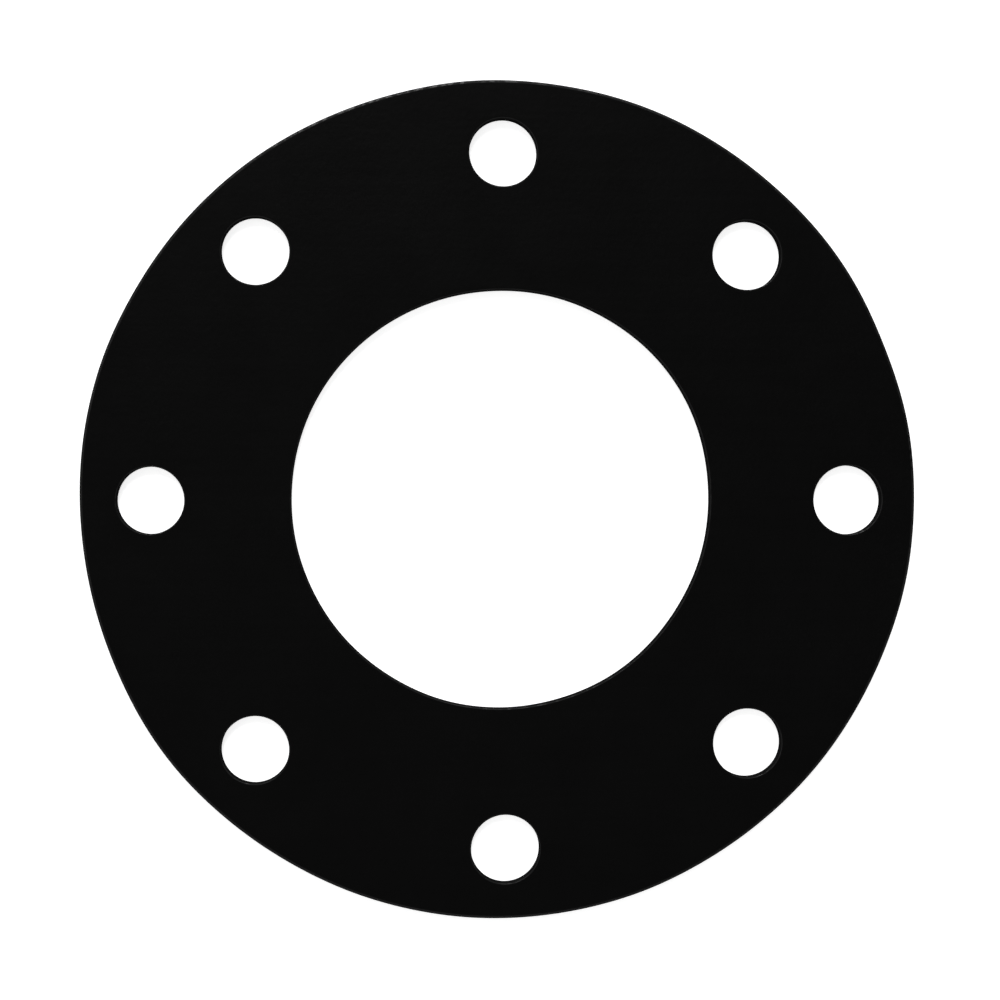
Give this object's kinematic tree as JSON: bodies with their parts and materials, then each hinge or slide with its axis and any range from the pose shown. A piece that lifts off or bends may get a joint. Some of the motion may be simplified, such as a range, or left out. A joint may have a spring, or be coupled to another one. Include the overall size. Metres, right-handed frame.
{
  "type": "flange gasket",
  "caption": "Flat full-face ring gasket cut from black sheet rubber, with a large central bore and a circle of bolt holes, to seal a bolted pipe flange joint.",
  "frame": {"origin": "centre of the bore on the underside of the sheet, which is also the centre of the bolt circle", "axes": "+Z is the pipe axis, up through the bore; +Y passes through the centre of one bolt hole, and the others follow at equal angles, so +X passes through one as well"},
  "size_m": [0.2286, 0.2286, 0.0032],
  "materials": {
    "black_rubber": "matte"
  },
  "bodies": {
    "root": {"gasket": "black_rubber"}
  },
  "joints": []
}
